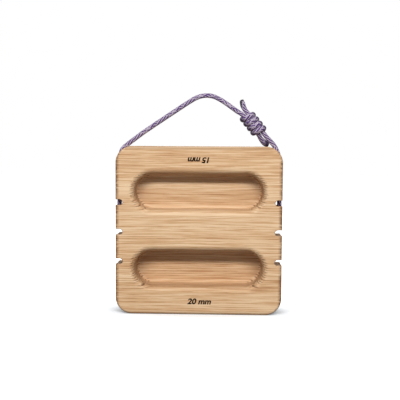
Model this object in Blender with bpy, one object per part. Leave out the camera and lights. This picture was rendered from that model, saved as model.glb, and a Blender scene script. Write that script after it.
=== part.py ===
# Portable hangboard: a solid oak board with two finger pockets, strung with one knotted loop of cord.
# Metres, +Z up. The front faces -Y, and the origin is under the board's centre, on what it stands on.
import math

import bmesh
import bpy
from mathutils import Matrix, Vector

# Oak board
BOARD_WIDTH = 0.150
BOARD_HEIGHT = 0.1518
BOARD_THICKNESS = 0.028
CORNER_RADIUS = 0.015
EDGE_RADIUS = 0.0022
CORNER_STEPS = 12
EDGE_STEPS = 3

# Finger pockets, milled into the front face one above the other
POCKET_LENGTH = 0.1155
POCKET_HEIGHT = 0.0315
UPPER_POCKET_DEPTH = 0.015
LOWER_POCKET_DEPTH = 0.020
POCKET_SPACING = 0.0692
POCKET_RISE = 0.0004
LIP_RADIUS = 0.0055
FLOOR_FILLET = 0.003
POCKET_STEPS = 36
FILLET_STEPS = 4

# Cord notches, three cut through each side from front to back
NOTCH_HEIGHT = 0.0053
NOTCH_DEPTH = 0.0064
NOTCH_SPACING = 0.0267
NOTCH_DROP = 0.0015
NOTCH_EASE = 0.0008
NOTCH_ROWS = 3
NOTCH_STEPS = 20
EASE_STEPS = 2

# Cord, and the grooves and bore that hold it at half the board's thickness
CORD_DIAMETER = 0.004
CLEARANCE = 0.0003
GROOVE_SLACK = 0.0005
GROOVE_STEPS = 20
BORE_DROP = 0.0134
BEND_RADIUS = 0.008
BEND_STEPS = 3
CORD_SIDES = 12
CORD_BEVEL_RESOLUTION = CORD_SIDES // 2 - 2
CORD_LONGEST_STEP = 3 * CORD_DIAMETER
CORD_TOLERANCE = 0.00006
FINE_STEPS = 24
END_STEPS = 12

# Knot: its wraps lie side by side around the two strands that they tie together
KNOT_CENTRE_X = 0.0485
KNOT_CENTRE_RISE = 0.0208
KNOT_TILT = math.radians(51)
KNOT_WIDTH = 0.0148
KNOT_DEPTH = 0.012
KNOT_WRAPS = 4
WRAP_PITCH = 0.0051
WRAP_ARC_STEPS = 6
KNOT_END_RADIUS = 0.0048
KNOT_STEPS = 32
STRAND_OFFSET = 0.0022

# The loop swings about an axis along X, high enough for the knot to pass over the board's top edge
HINGE_RISE = KNOT_DEPTH / 2 + CLEARANCE
LEFT_HINGE_INSET = 0.0153
RIGHT_HINGE_INSET = 0.0117
DOME_STEPS = 4
DOME_LAST_ANGLE = math.radians(88)

# The cord's hand-chosen points at the rounded corners: in from the board's side, up from its top
LEFT_CORNER_POINTS = (
    (0.0119, 0.0038), (0.0088, 0.0013), (0.0060, -0.0009), (0.0043, -0.0032), (0.0033, -0.0062),
    (0.0026, -0.0105), (0.0022, -0.0160), (0.0021, -0.0265), (0.0021, -0.0440),
)
RIGHT_CORNER_POINTS = (
    (0.0092, 0.0036), (0.0070, 0.0008), (0.0053, -0.0023), (0.0040, -0.0053), (0.0031, -0.0085),
    (0.0025, -0.0125), (0.0022, -0.0175), (0.0021, -0.0265), (0.0021, -0.0440),
)
# The free arch from the left hinge to the knot: across from the middle, up from the board's top
ARCH_POINTS = (
    (-0.0521, 0.0120), (-0.0411, 0.0195), (-0.0302, 0.0268), (-0.0193, 0.0340), (-0.0084, 0.0411),
    (-0.0030, 0.0441), (0.0025, 0.0458), (0.0079, 0.0461), (0.0133, 0.0450), (0.0188, 0.0424),
    (0.0243, 0.0389), (0.0297, 0.0351), (0.0345, 0.0317), (0.0378, 0.0298),
)
RIGHT_LEG_POINTS = ((0.0603, 0.0095),)
UPPER_TAIL_POINTS = ((0.0417, 0.0331), (0.0401, 0.0357), (0.0390, 0.0385), (0.0376, 0.0418))
LOWER_TAIL_POINTS = ((0.0557, 0.0083), (0.0576, 0.0057), (0.0606, 0.0027))

OAK_COLOUR = (0.62, 0.42, 0.24, 1.0)
CORD_COLOUR = (0.16, 0.08, 0.28, 1.0)

CUT_MARGIN = 0.01
WELD_DISTANCE = 0.00001

# Sizes that follow from those above. The board's middle plane, where the cord lies, is y = 0
HALF_WIDTH = BOARD_WIDTH / 2
FRONT_Y = -BOARD_THICKNESS / 2
CORD_RADIUS = CORD_DIAMETER / 2
ALONG_KNOT = Vector((math.cos(KNOT_TILT), 0, -math.sin(KNOT_TILT)))
ACROSS_KNOT = Vector((math.sin(KNOT_TILT), 0, math.cos(KNOT_TILT)))


def clear_scene():
    for item in list(bpy.data.objects):
        bpy.data.objects.remove(item)


def make_collection(name):
    collection = bpy.data.collections.new(name)
    bpy.context.scene.collection.children.link(collection)
    return collection


def make_material(name, colour, roughness):
    material = bpy.data.materials.new(name)
    material.use_nodes = True
    shader = material.node_tree.nodes["Principled BSDF"]
    shader.inputs["Base Color"].default_value = colour
    shader.inputs["Roughness"].default_value = roughness
    shader.inputs["Metallic"].default_value = 0.0
    return material


def object_from_bmesh(bm, name, collection):
    bmesh.ops.recalc_face_normals(bm, faces=bm.faces)
    mesh = bpy.data.meshes.new(name)
    bm.to_mesh(mesh)
    bm.free()
    made = bpy.data.objects.new(name, mesh)
    collection.objects.link(made)
    return made


def quarter_arc(centre, radius, start, steps):
    """Points along a quarter circle, from the start angle on through 90 degrees."""
    angles = (start + math.pi / 2 * step / steps for step in range(steps + 1))
    return [(centre[0] + radius * math.cos(a), centre[1] + radius * math.sin(a)) for a in angles]


def turned(profile, steps):
    """Turn a profile of (radius, place along Y) points about the Y axis, into a new bmesh."""
    bm = bmesh.new()
    verts = [bm.verts.new((radius, along, 0)) for radius, along in profile]
    edges = [bm.edges.new(pair) for pair in zip(verts, verts[1:])]
    bmesh.ops.spin(
        bm, geom=verts + edges, cent=(0, 0, 0), axis=(0, 1, 0), angle=math.tau, steps=steps, use_merge=True)
    bmesh.ops.remove_doubles(bm, verts=bm.verts, dist=WELD_DISTANCE)
    return bm


def draw_apart(bm, left, right):
    """Cut a turned shape through its middle and draw its halves apart along X, into a slot."""
    for vert in bm.verts:
        vert.co.x += right if vert.co.x > 0 else -left


# Cutters

def mark_as_cutter(cutter):
    cutter.hide_render = True
    cutter.display_type = "WIRE"
    return cutter


def pocket_cutter(name, depth, height, collection):
    """The pocket's space: full-round ends, a filleted floor and a mouth that flares to the lip."""
    end_radius = POCKET_HEIGHT / 2
    mouth_radius = end_radius + LIP_RADIUS
    fillet = quarter_arc((end_radius - FLOOR_FILLET, depth - FLOOR_FILLET), FLOOR_FILLET, 0, FILLET_STEPS)
    flare = quarter_arc((mouth_radius, LIP_RADIUS), LIP_RADIUS, math.pi, FILLET_STEPS)
    profile = [(0, depth)] + fillet[::-1] + flare + [(mouth_radius, -CUT_MARGIN), (0, -CUT_MARGIN)]
    bm = turned(profile, POCKET_STEPS)
    bmesh.ops.rotate(bm, verts=bm.verts, matrix=Matrix.Rotation(math.pi / POCKET_STEPS, 3, "Y"))
    half_run = POCKET_LENGTH / 2 - end_radius
    draw_apart(bm, half_run, half_run)
    cutter = object_from_bmesh(bm, name, collection)
    cutter.location = (0, FRONT_Y, height)
    return mark_as_cutter(cutter)


def notch_cutter(name, side, height, collection):
    """A slot with a round inner end, open at the side, with eased edges on both faces."""
    radius = NOTCH_HEIGHT / 2
    eased = radius + NOTCH_EASE
    front = quarter_arc((eased, NOTCH_EASE), NOTCH_EASE, math.pi, EASE_STEPS)
    back = [(r, BOARD_THICKNESS - along) for r, along in front]
    ends = [(0, -CUT_MARGIN), (eased, -CUT_MARGIN)]
    far_ends = [(r, BOARD_THICKNESS - along) for r, along in ends]
    bm = turned(ends + front[::-1] + back + far_ends[::-1], NOTCH_STEPS)
    bmesh.ops.rotate(bm, verts=bm.verts, matrix=Matrix.Rotation(math.pi / NOTCH_STEPS, 3, "Y"))
    draw_apart(bm, 0, NOTCH_DEPTH)
    cutter = object_from_bmesh(bm, name, collection)
    cutter.location = (side * (HALF_WIDTH - NOTCH_DEPTH + radius), FRONT_Y, height)
    if side < 0:
        cutter.rotation_euler = (0, math.pi, 0)
    return mark_as_cutter(cutter)


def groove_cutter(name, side, collection):
    """A round-bottomed channel down the whole side, deep enough for the cord to lie flush."""
    radius = CORD_RADIUS + GROOVE_SLACK
    depth = CORD_DIAMETER + GROOVE_SLACK
    bm = bmesh.new()
    bmesh.ops.create_cone(
        bm, cap_ends=True, segments=GROOVE_STEPS, radius1=radius, radius2=radius,
        depth=BOARD_HEIGHT + 2 * CUT_MARGIN)
    bmesh.ops.rotate(bm, verts=bm.verts, matrix=Matrix.Rotation(math.pi / GROOVE_STEPS, 3, "Z"))
    draw_apart(bm, 0, depth)
    cutter = object_from_bmesh(bm, name, collection)
    cutter.location = (side * (HALF_WIDTH - depth + radius), 0, BOARD_HEIGHT / 2)
    if side < 0:
        cutter.rotation_euler = (0, 0, math.pi)
    return mark_as_cutter(cutter)


# Cord routes

def on_plane(x, rise):
    """A point in the cord's plane, given up from the board's top."""
    return Vector((x, 0, BOARD_HEIGHT + rise))


def corner_route(side, hinge_inset, points):
    """From the hinge over one rounded corner and down into the side groove."""
    listed = [(hinge_inset, HINGE_RISE)] + list(points)
    return [on_plane(side * (HALF_WIDTH - inset), rise) for inset, rise in listed]


def bore_height():
    return BOARD_HEIGHT / 2 - NOTCH_DROP + BORE_DROP


def bend_route(side):
    """The quarter turn from a side groove into the bore that runs from side to side."""
    centre_x = HALF_WIDTH - CORD_RADIUS - BEND_RADIUS
    arc = quarter_arc((centre_x, bore_height() + BEND_RADIUS), BEND_RADIUS, -math.pi / 2, BEND_STEPS)
    return [Vector((side * x, 0, z)) for x, z in arc[::-1]]


def held_route():
    """From the left hinge over the corner, down the groove, through the bore and up to the right hinge."""
    left = corner_route(-1, LEFT_HINGE_INSET, LEFT_CORNER_POINTS) + bend_route(-1)
    right = corner_route(1, RIGHT_HINGE_INSET, RIGHT_CORNER_POINTS) + bend_route(1)
    return smooth_route(left + right[::-1])


def smooth_route(points):
    """Fine points along a smooth curve (centripetal Catmull-Rom) through the route's own points."""
    ends = [2 * points[0] - points[1]] + points + [2 * points[-1] - points[-2]]
    fine = []
    for before, start, end, after in zip(ends, ends[1:], ends[2:], ends[3:]):
        first = math.sqrt((start - before).length)
        middle = math.sqrt((end - start).length)
        last = math.sqrt((after - end).length)
        leave = ((start - before) / first - (end - before) / (first + middle)) * middle + (end - start)
        arrive = ((after - end) / last - (after - start) / (middle + last)) * middle + (end - start)
        for step in range(FINE_STEPS):
            t = step / FINE_STEPS
            place = (2 * t**3 - 3 * t**2 + 1) * start + (3 * t**2 - 2 * t**3) * end
            place += (t**3 - 2 * t**2 + t) * leave + (t**3 - t**2) * arrive
            fine.append(place)
    return fine + [points[-1]]


def shorten(points, length):
    """Take a length off the start of a fine route."""
    while (points[1] - points[0]).length < length:
        length -= (points[1] - points[0]).length
        points = points[1:]
    return [points[0].lerp(points[1], length / (points[1] - points[0]).length)] + points[1:]


def bulge(points):
    """How far a stretch of fine points bulges from the straight line between its ends."""
    along = (points[-1] - points[0]).normalized()
    return max((point - points[0]).cross(along).length for point in points)


def thin_out(points):
    """Keep as few fine points as hold the curve's shape, and its exact direction at both ends."""
    first = END_STEPS
    last = len(points) - 1 - END_STEPS
    kept = [points[0], points[first]]
    for here in range(first + 2, last):
        stretch = points[first:here + 1]
        if (stretch[-1] - stretch[0]).length > CORD_LONGEST_STEP or bulge(stretch) > CORD_TOLERANCE:
            first = here - 1
            kept.append(points[first])
    return kept + [points[last], points[-1]]


def dome_over(points):
    """Extra points that close a cord's first end with a round dome about its first point."""
    back = (points[0] - points[1]).normalized()
    angles = [math.pi / 2 * step / DOME_STEPS for step in range(DOME_STEPS - 1, 0, -1)]
    return [
        (points[0] + back * CORD_RADIUS * math.sin(angle), math.cos(angle))
        for angle in [DOME_LAST_ANGLE] + angles]


def tube_along(name, stations, radius, collection):
    """A round tube with closed ends. Each station is a point and its share of the radius."""
    curve = bpy.data.curves.new(name, "CURVE")
    curve.dimensions = "3D"
    curve.bevel_depth = radius
    curve.bevel_resolution = CORD_BEVEL_RESOLUTION
    curve.use_fill_caps = True
    spline = curve.splines.new("POLY")
    spline.points.add(len(stations) - 1)
    for target, (place, share) in zip(spline.points, stations):
        target.co = (*place, 1.0)
        target.radius = share
    tube = bpy.data.objects.new(name, curve)
    collection.objects.link(tube)
    return tube


def make_cord(name, points, collection, material, domed=False):
    """The cord along a route, thinned to as few points as hold its shape."""
    stations = [(point, 1.0) for point in thin_out(points)]
    if domed:
        stations = dome_over(points) + stations
    cord = tube_along(name, stations, CORD_RADIUS, collection)
    cord.data.materials.append(material)
    return cord


def mesh_from_curve(curve_object, name, collection):
    """A welded mesh copy of a cord, for use as a cutter. The curve itself is removed."""
    evaluated = curve_object.evaluated_get(bpy.context.evaluated_depsgraph_get())
    mesh = bpy.data.meshes.new_from_object(evaluated)
    mesh.name = name
    bm = bmesh.new()
    bm.from_mesh(mesh)
    bmesh.ops.remove_doubles(bm, verts=bm.verts, dist=WELD_DISTANCE)
    bm.to_mesh(mesh)
    bm.free()
    made = bpy.data.objects.new(name, mesh)
    made.matrix_world = curve_object.matrix_world
    collection.objects.link(made)
    bpy.data.objects.remove(curve_object)
    return made


# Pieces

def runs_through(edge):
    """Whether an edge runs from the board's front to its back."""
    return abs(edge.verts[0].co.y - edge.verts[1].co.y) > WELD_DISTANCE


def make_board(parts, cutters, oak):
    bm = bmesh.new()
    bmesh.ops.create_cube(bm, size=1.0)
    bmesh.ops.scale(bm, verts=bm.verts, vec=(BOARD_WIDTH, BOARD_THICKNESS, BOARD_HEIGHT))
    bmesh.ops.translate(bm, verts=bm.verts, vec=(0, 0, BOARD_HEIGHT / 2))
    corners = [edge for edge in bm.edges if runs_through(edge)]
    bmesh.ops.bevel(
        bm, geom=corners, offset=CORNER_RADIUS, offset_type="OFFSET", segments=CORNER_STEPS,
        profile=0.5, affect="EDGES")
    outline = [edge for edge in bm.edges if not runs_through(edge)]
    bmesh.ops.bevel(
        bm, geom=outline, offset=EDGE_RADIUS, offset_type="OFFSET", segments=EDGE_STEPS,
        profile=0.5, affect="EDGES")
    board = object_from_bmesh(bm, "oak_board", parts)
    board.data.materials.append(oak)

    middle = BOARD_HEIGHT / 2 + POCKET_RISE
    tools = [
        pocket_cutter("upper_pocket_cutter", UPPER_POCKET_DEPTH, middle + POCKET_SPACING / 2, cutters),
        pocket_cutter("lower_pocket_cutter", LOWER_POCKET_DEPTH, middle - POCKET_SPACING / 2, cutters),
    ]
    for side, side_name in ((-1, "left"), (1, "right")):
        tools.append(groove_cutter(f"{side_name}_groove_cutter", side, cutters))
        for row in range(NOTCH_ROWS):
            steps_up = (NOTCH_ROWS - 1) / 2 - row
            height = BOARD_HEIGHT / 2 - NOTCH_DROP + NOTCH_SPACING * steps_up
            tools.append(notch_cutter(f"{side_name}_notch_cutter_{row + 1}", side, height, cutters))
    tools.append(cord_way_cutter(cutters))
    for tool in tools:
        cut = board.modifiers.new(tool.name, "BOOLEAN")
        cut.operation = "DIFFERENCE"
        cut.solver = "EXACT"
        cut.object = tool
    return board


def cord_way_cutter(cutters):
    """The held cord's way round both corners and through the bore, a running clearance wider than it."""
    stations = [(point, 1.0) for point in thin_out(held_route())]
    tube = tube_along("cord_way", stations, CORD_RADIUS + CLEARANCE, cutters)
    return mark_as_cutter(mesh_from_curve(tube, "cord_way_cutter", cutters))


def make_held_cord(parts, purple):
    """The stretch that the board holds: both corners, both side grooves and the bore."""
    gap_to_hinge = CORD_RADIUS + CLEARANCE
    route = shorten(held_route(), gap_to_hinge)
    route = shorten(route[::-1], gap_to_hinge)
    return make_cord("cord_in_board", route, parts, purple)


def knot_end(direction, side):
    """Where a strand meets the knot's end face, a clearance away, and a point straight out from it."""
    centre = on_plane(KNOT_CENTRE_X, KNOT_CENTRE_RISE)
    half_length = (KNOT_WRAPS - 1) * WRAP_PITCH / 2 + CORD_RADIUS
    face = centre + ALONG_KNOT * direction * (half_length + CLEARANCE) + ACROSS_KNOT * side * STRAND_OFFSET
    return [face, face + ALONG_KNOT * direction * CORD_RADIUS]


def make_knot(parts, purple):
    """The knot's outer shape: four wraps side by side, turned and then flattened front to back."""
    wrap_radius = min(CORD_RADIUS, WRAP_PITCH / 2)
    wrap_centre = KNOT_WIDTH / 2 - wrap_radius
    first = -(KNOT_WRAPS - 1) * WRAP_PITCH / 2
    profile = [(0, first - CORD_RADIUS), (KNOT_END_RADIUS, first - CORD_RADIUS)]
    for wrap in range(KNOT_WRAPS):
        along = first + wrap * WRAP_PITCH
        for step in range(WRAP_ARC_STEPS + 1):
            angle = math.pi * step / WRAP_ARC_STEPS
            out = wrap_radius * math.sin(angle)
            profile.append((wrap_centre + out, along - wrap_radius * math.cos(angle)))
    profile += [(KNOT_END_RADIUS, CORD_RADIUS - first), (0, CORD_RADIUS - first)]
    bm = turned(profile, KNOT_STEPS)
    bmesh.ops.rotate(bm, verts=bm.verts, matrix=Matrix.Rotation(-math.pi / 2, 3, "Z"))
    bmesh.ops.scale(bm, verts=bm.verts, vec=(1, KNOT_DEPTH / KNOT_WIDTH, 1))
    bmesh.ops.rotate(bm, verts=bm.verts, matrix=Matrix.Rotation(KNOT_TILT, 3, "Y"))
    bmesh.ops.translate(bm, verts=bm.verts, vec=on_plane(KNOT_CENTRE_X, KNOT_CENTRE_RISE))
    knot = object_from_bmesh(bm, "knot", parts)
    knot.data.materials.append(purple)
    knot.data.shade_smooth()
    return knot


def make_loop(parts, purple):
    """The free loop: its two legs, the knot that joins them and the knot's two tails."""
    left_hinge = on_plane(LEFT_HINGE_INSET - HALF_WIDTH, HINGE_RISE)
    right_hinge = on_plane(HALF_WIDTH - RIGHT_HINGE_INSET, HINGE_RISE)
    arch = [on_plane(*point) for point in ARCH_POINTS]
    left_route = [left_hinge] + arch + knot_end(-1, -1)[::-1]
    right_route = [right_hinge] + [on_plane(*point) for point in RIGHT_LEG_POINTS] + knot_end(1, 1)[::-1]
    upper_tail = knot_end(-1, 1) + [on_plane(*point) for point in UPPER_TAIL_POINTS]
    lower_tail = knot_end(1, -1) + [on_plane(*point) for point in LOWER_TAIL_POINTS]
    pieces = [
        make_cord("cord_left_leg", smooth_route(left_route), parts, purple, domed=True),
        make_cord("cord_right_leg", smooth_route(right_route), parts, purple, domed=True),
        make_knot(parts, purple),
        make_cord("upper_tail", smooth_route(upper_tail), parts, purple),
        make_cord("lower_tail", smooth_route(lower_tail), parts, purple),
    ]
    axis = bpy.data.objects.new("loop_swing_axis", None)
    axis.location = on_plane(0, HINGE_RISE)
    parts.objects.link(axis)
    bpy.context.view_layer.update()
    for piece in pieces:
        piece.parent = axis
        piece.matrix_parent_inverse = axis.matrix_world.inverted()


clear_scene()
parts = make_collection("portable_hangboard")
cutters = make_collection("cutters")
oak = make_material("oiled_oak", OAK_COLOUR, 0.55)
purple = make_material("braided_cord", CORD_COLOUR, 0.8)
make_board(parts, cutters, oak)
make_held_cord(parts, purple)
make_loop(parts, purple)
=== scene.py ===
# Portable hangboard: a board of oiled oak with two finger pockets, strung with a knotted loop of cord.
# Metres, +Z up, the board's front faces -Y and its middle plane is y = 0.
import math

import bpy
from mathutils import Matrix, Vector


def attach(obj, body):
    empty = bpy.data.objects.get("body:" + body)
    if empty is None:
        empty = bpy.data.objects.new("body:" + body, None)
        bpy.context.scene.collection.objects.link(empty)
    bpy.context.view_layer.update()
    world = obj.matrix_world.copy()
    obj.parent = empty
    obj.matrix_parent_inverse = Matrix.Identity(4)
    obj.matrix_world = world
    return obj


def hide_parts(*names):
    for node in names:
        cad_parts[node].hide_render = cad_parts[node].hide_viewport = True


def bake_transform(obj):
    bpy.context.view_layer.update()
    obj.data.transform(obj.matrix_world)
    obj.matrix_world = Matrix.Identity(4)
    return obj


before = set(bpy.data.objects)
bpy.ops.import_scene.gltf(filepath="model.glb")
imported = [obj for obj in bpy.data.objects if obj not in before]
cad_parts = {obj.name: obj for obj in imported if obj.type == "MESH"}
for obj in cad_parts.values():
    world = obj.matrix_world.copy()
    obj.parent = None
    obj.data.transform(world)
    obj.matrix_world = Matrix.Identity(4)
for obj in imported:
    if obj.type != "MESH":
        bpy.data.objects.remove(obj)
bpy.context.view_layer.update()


# Camera
# The photograph was taken from 0.6 m away, a little above the board's middle and a little to its right.
CAMERA_PLACE = Vector((0.0200, -0.6119, 0.1379))
CAMERA_YAW = math.radians(-1.80)
CAMERA_PITCH = math.radians(3.26)
CAMERA_ROLL = math.radians(0.354)
CAMERA_LENS = 60.3
SENSOR_WIDTH = 36

forward = Vector((
    math.sin(CAMERA_YAW) * math.cos(CAMERA_PITCH),
    math.cos(CAMERA_YAW) * math.cos(CAMERA_PITCH),
    -math.sin(CAMERA_PITCH)))
level_right = Vector((math.cos(CAMERA_YAW), -math.sin(CAMERA_YAW), 0))
level_up = level_right.cross(forward)
right = level_right * math.cos(CAMERA_ROLL) + level_up * math.sin(CAMERA_ROLL)
up = level_up * math.cos(CAMERA_ROLL) - level_right * math.sin(CAMERA_ROLL)
camera = bpy.data.objects.new("camera", bpy.data.cameras.new("camera"))
camera.data.lens = CAMERA_LENS
camera.data.sensor_width = SENSOR_WIDTH
camera.location = CAMERA_PLACE
camera.rotation_euler = Matrix((right, up, -forward)).transposed().to_euler()
bpy.context.scene.collection.objects.link(camera)
bpy.context.scene.camera = camera
bpy.context.scene.view_settings.view_transform = "Standard"


# Accessory cord
# A braided polyamide sheath of twenty-four yarns over a core, 4 mm thick. Purple yarns and pale ones
# cross at a shallow angle, which draws fine flecks along the cord.
BOARD_HEIGHT = 0.1518
HALF_WIDTH = 0.075
CORD_RADIUS = 0.002
HINGE_RISE = 0.0063
CARRIER_PAIRS = 12
BRAID_ANGLE = math.radians(24)
BRAID_PITCH = 2 * math.pi * CORD_RADIUS / CARRIER_PAIRS / math.tan(BRAID_ANGLE)
BRAID_RELIEF = 0.00020
LEVEL_RELIEF = 0.35
UNDER_LIFT = 0.4
CORD_SIDES = 48
RING_STEP = 0.0003
FINE_STEPS = 24


def linear(hex_colour):
    """An sRGB colour, written as six hex digits, in the renderer's linear values."""
    shares = [int(hex_colour[place:place + 2], 16) / 255 for place in (0, 2, 4)]
    return tuple(s / 12.92 if s <= 0.04045 else ((s + 0.055) / 1.055) ** 2.4 for s in shares) + (1.0,)


def add_node(tree, kind, settings, links):
    """Add a node, give it its settings and plain values, and link other nodes' sockets into it."""
    node = tree.nodes.new(kind)
    for key, value in settings.items():
        if isinstance(key, int) or key in node.inputs:
            node.inputs[key].default_value = value
        else:
            setattr(node, key, value)
    for key, socket in links.items():
        tree.links.new(socket, node.inputs[key])
    return node


def new_material(name):
    """A material with an empty Principled BSDF, returned with its tree and shader."""
    material = bpy.data.materials.new(name)
    material.use_nodes = True
    return material, material.node_tree, material.node_tree.nodes["Principled BSDF"]


def on_plane(x, rise, depth=0.0):
    """A point in the cord's plane, or behind it, given up from the board's top."""
    return Vector((x, depth, BOARD_HEIGHT + rise))


def smooth_route(points):
    """Fine points along a smooth curve (centripetal Catmull-Rom) through the route's own points."""
    ends = [2 * points[0] - points[1]] + points + [2 * points[-1] - points[-2]]
    fine = []
    for before, start, end, after in zip(ends, ends[1:], ends[2:], ends[3:]):
        first = math.sqrt((start - before).length)
        middle = math.sqrt((end - start).length)
        last = math.sqrt((after - end).length)
        leave = ((start - before) / first - (end - before) / (first + middle)) * middle + (end - start)
        arrive = ((after - end) / last - (after - start) / (middle + last)) * middle + (end - start)
        for step in range(FINE_STEPS):
            t = step / FINE_STEPS
            place = (2 * t**3 - 3 * t**2 + 1) * start + (3 * t**2 - 2 * t**3) * end
            place += (t**3 - 2 * t**2 + t) * leave + (t**3 - t**2) * arrive
            fine.append(place)
    return fine + [points[-1]]


def route_length(points):
    """The length of a route through its points."""
    return sum((b - a).length for a, b in zip(points, points[1:]))


def even_route(points, step):
    """The same route with its points an even step apart, as near to the given step as its length allows."""
    count = round(route_length(points) / step)
    spacing = route_length(points) / count
    even = [points[0]]
    carried = 0.0
    for start, end in zip(points, points[1:]):
        stretch = (end - start).length
        while carried + stretch >= spacing and len(even) < count:
            start = start.lerp(end, (spacing - carried) / stretch)
            even.append(start)
            stretch = (end - start).length
            carried = 0.0
        carried += stretch
    return even + [points[-1]]


def braid_relief(u, v):
    """How high the sheath stands, from 0 in a crease to 1 on a yarn's crown."""
    top = CARRIER_PAIRS * u + v / BRAID_PITCH
    under = CARRIER_PAIRS * u - v / BRAID_PITCH
    if (math.floor(top) + math.floor(under)) % 2:
        top, under = under, top
    lift = 1 - UNDER_LIFT + UNDER_LIFT * math.sin(math.pi * (under % 1))
    return math.sqrt(math.sin(math.pi * (top % 1))) * lift


def braided_tube(name, route, squeeze=None, shape=None):
    """A closed tube along a route, with the braid as relief. Its UV map holds the place round the cord and
    the length along it in metres. squeeze gives the radius's share at a ring, and shape may move a point."""
    centres = even_route(route, RING_STEP)
    tangents = [(b - a).normalized() for a, b in zip([centres[0]] + centres, centres[1:] + [centres[-1]])]
    side = Vector((0, 1, 0))
    verts = []
    lengths = [0.0]
    for before, here in zip(centres, centres[1:]):
        lengths.append(lengths[-1] + (here - before).length)
    for centre, tangent, v in zip(centres, tangents, lengths):
        side = (side - tangent * side.dot(tangent)).normalized()
        other = tangent.cross(side)
        share = squeeze(centre) if squeeze else 1.0
        for number in range(CORD_SIDES):
            u = number / CORD_SIDES
            out = side * math.cos(math.tau * u) + other * math.sin(math.tau * u)
            radius = CORD_RADIUS * share + BRAID_RELIEF * (braid_relief(u, v) - LEVEL_RELIEF)
            point = centre + out * radius
            verts.append(shape(point, centre) if shape else point)
    faces = []
    coordinates = []
    for ring in range(len(centres) - 1):
        for number in range(CORD_SIDES):
            following = (number + 1) % CORD_SIDES
            low = ring * CORD_SIDES
            high = low + CORD_SIDES
            faces.append((low + number, low + following, high + following, high + number))
            u, next_u = number / CORD_SIDES, (number + 1) / CORD_SIDES
            v, next_v = lengths[ring], lengths[ring + 1]
            coordinates += [(u, v), (next_u, v), (next_u, next_v), (u, next_v)]
    last = (len(centres) - 1) * CORD_SIDES
    for end, ring, v in (
            (centres[0], range(CORD_SIDES - 1, -1, -1), lengths[0]),
            (centres[-1], range(last, last + CORD_SIDES), lengths[-1])):
        hub = len(verts)
        verts.append(sum((verts[number] for number in ring), Vector()) / CORD_SIDES)
        ring = list(ring)
        for number, following in zip(ring, ring[1:] + ring[:1]):
            faces.append((number, following, hub))
            coordinates += [(0.0, v)] * 3
    mesh = bpy.data.meshes.new(name)
    mesh.from_pydata(verts, [], faces)
    braid_map = mesh.uv_layers.new(name="braid")
    for loop, coordinate in zip(braid_map.data, coordinates):
        loop.uv = coordinate
    mesh.shade_smooth()
    mesh.materials.append(braided_cord)
    tube = bpy.data.objects.new(name, mesh)
    bpy.context.scene.collection.objects.link(tube)
    return tube


# Polyamide yarn, spun and braided, unwaxed. It is matt with a faint sheen and pale on the flecked yarns, and
# the creases between the yarns carry painted shade. The melt attribute marks where a flame sealed the cut
# ends.
# A second attribute holds painted shade on the outer bends of the knot's turns and on the lower tail, which
# lies in shade.
PURPLE = linear("6C4692")
DEEP_PURPLE = linear("482864")
LILAC = linear("E2D4E8")
GREY_LILAC = linear("B4A6BA")
# The colour of the painted shade, in the creases and on the knot's bends.
CREASE_SHADE = linear("2A1B38")
MELTED = linear("1C0A2A")
PALE_SHARE = 0.60
SEED_STEP = 10.0
FIBRES_PER_YARN = 4.0
YARN_ROUGHNESS = 0.75
MELTED_ROUGHNESS = 0.6

braided_cord, tree, shader = new_material("braided_polyamide_cord")
braid_uv = add_node(tree, "ShaderNodeUVMap", {"uv_map": "braid"}, {})
place = add_node(tree, "ShaderNodeSeparateXYZ", {}, {0: braid_uv.outputs[0]})
around = add_node(tree, "ShaderNodeMath", {"operation": "MULTIPLY", 1: CARRIER_PAIRS}, {0: place.outputs[0]})
along = add_node(tree, "ShaderNodeMath", {"operation": "DIVIDE", 1: BRAID_PITCH}, {0: place.outputs[1]})
turns = []
for operation in ("ADD", "SUBTRACT"):
    spiral = add_node(
        tree, "ShaderNodeMath", {"operation": operation}, {0: around.outputs[0], 1: along.outputs[0]})
    number = add_node(tree, "ShaderNodeMath", {"operation": "FLOOR"}, {0: spiral.outputs[0]})
    share = add_node(tree, "ShaderNodeMath", {"operation": "FRACT"}, {0: spiral.outputs[0]})
    wave = add_node(tree, "ShaderNodeMath", {"operation": "MULTIPLY", 1: math.pi}, {0: share.outputs[0]})
    crown = add_node(tree, "ShaderNodeMath", {"operation": "SINE"}, {0: wave.outputs[0]})
    turns.append((number, share, crown))
both = add_node(
    tree, "ShaderNodeMath", {"operation": "ADD"}, {0: turns[0][0].outputs[0], 1: turns[1][0].outputs[0]})
parity = add_node(tree, "ShaderNodeMath", {"operation": "FLOORED_MODULO", 1: 2.0}, {0: both.outputs[0]})
top_number, top_share, top_crown = (
    add_node(tree, "ShaderNodeMix", {}, {0: parity.outputs[0], 2: a.outputs[0], 3: b.outputs[0]})
    for a, b in zip(turns[0], turns[1]))
under_crown = add_node(
    tree, "ShaderNodeMix", {}, {0: parity.outputs[0], 2: turns[1][2].outputs[0], 3: turns[0][2].outputs[0]})
carrier = add_node(
    tree, "ShaderNodeMath", {"operation": "FLOORED_MODULO", 1: CARRIER_PAIRS}, {0: top_number.outputs[0]})
carrier_seed = add_node(
    tree, "ShaderNodeMath", {"operation": "MULTIPLY_ADD", 1: SEED_STEP},
    {0: parity.outputs[0], 2: carrier.outputs[0]})
fleck = add_node(
    tree, "ShaderNodeTexWhiteNoise", {"noise_dimensions": "1D"}, {"W": carrier_seed.outputs[0]})
pale = add_node(
    tree, "ShaderNodeMath", {"operation": "LESS_THAN", 1: PALE_SHARE}, {0: fleck.outputs["Value"]})
fibre_place = add_node(
    tree, "ShaderNodeCombineXYZ", {},
    {0: top_share.outputs[0], 1: along.outputs[0], 2: top_number.outputs[0]})
fibre = add_node(
    tree, "ShaderNodeTexNoise", {"Scale": FIBRES_PER_YARN, "Detail": 2.0},
    {"Vector": fibre_place.outputs[0]})
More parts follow.
